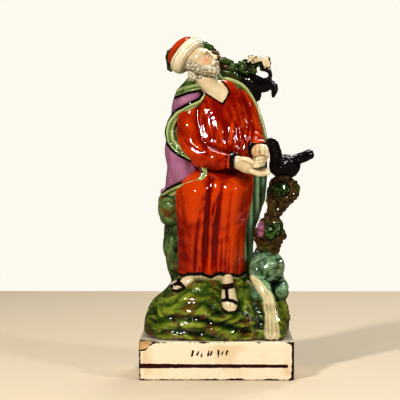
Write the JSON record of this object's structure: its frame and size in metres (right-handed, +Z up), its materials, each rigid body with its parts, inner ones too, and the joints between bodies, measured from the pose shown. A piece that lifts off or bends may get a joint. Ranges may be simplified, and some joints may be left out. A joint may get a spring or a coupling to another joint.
{
  "type": "staffordshire figure",
  "caption": "Glazed earthenware chimney ornament: a seated, bearded, robed figure fed by ravens, on a rocky mound with a stream and a tree, in one with a rectangular plinth.",
  "frame": {"origin": "centre of the plinth's underside", "axes": "+Z up, -Y towards the viewer (the figure's front), +X to the viewer's right"},
  "size_m": [0.1278, 0.086, 0.2486],
  "materials": {
    "glazed_earthenware": "pearl-glazed cream earthenware, painted over the glaze in iron red, green, brown, pink and black enamels, glossy"
  },
  "bodies": {
    "root": {"figure_group": "glazed_earthenware"}
  },
  "joints": []
}
